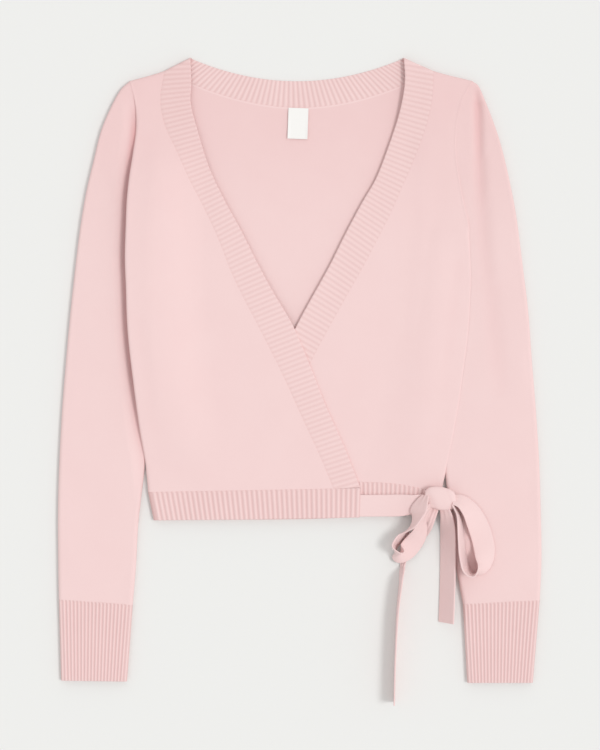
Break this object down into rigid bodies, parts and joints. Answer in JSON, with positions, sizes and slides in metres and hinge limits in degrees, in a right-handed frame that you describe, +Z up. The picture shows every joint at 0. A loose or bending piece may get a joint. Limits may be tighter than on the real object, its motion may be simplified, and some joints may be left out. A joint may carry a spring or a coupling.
{
  "type": "wrap cardigan",
  "caption": "Fine-knit wrap cardigan laid flat: crossed fronts with a rib neckband, long sleeves with rib cuffs and a side bow.",
  "frame": {"origin": "on the floor, under the middle of the laid garment's outline", "axes": "+Z up from the floor, +Y towards the collar, +X towards the wearer's left side"},
  "size_m": [0.5084, 0.678, 0.0328],
  "materials": {
    "plain_knit": "soft plain knit, pale pink",
    "rib_knit": "soft rib knit, pale pink",
    "woven_label": "blank woven tape, off-white",
    "tie_knit": "soft double knit tie, pale pink"
  },
  "bodies": {
    "root": {"back": "plain_knit", "front_left": "plain_knit", "front_right": "plain_knit", "sleeve_left": "plain_knit", "sleeve_right": "plain_knit", "neckband_back": "rib_knit", "neckband_left": "rib_knit", "neckband_right": "rib_knit", "hem_back": "rib_knit", "hem_front_left": "rib_knit", "hem_front_right": "rib_knit", "cuff_left": "rib_knit", "cuff_right": "rib_knit", "label": "woven_label", "tie_strap": "tie_knit", "bow_knot": "tie_knit", "bow_loop_inner": "tie_knit", "bow_loop_outer": "tie_knit", "tie_end_short": "tie_knit", "tie_end_long": "tie_knit"}
  },
  "joints": []
}
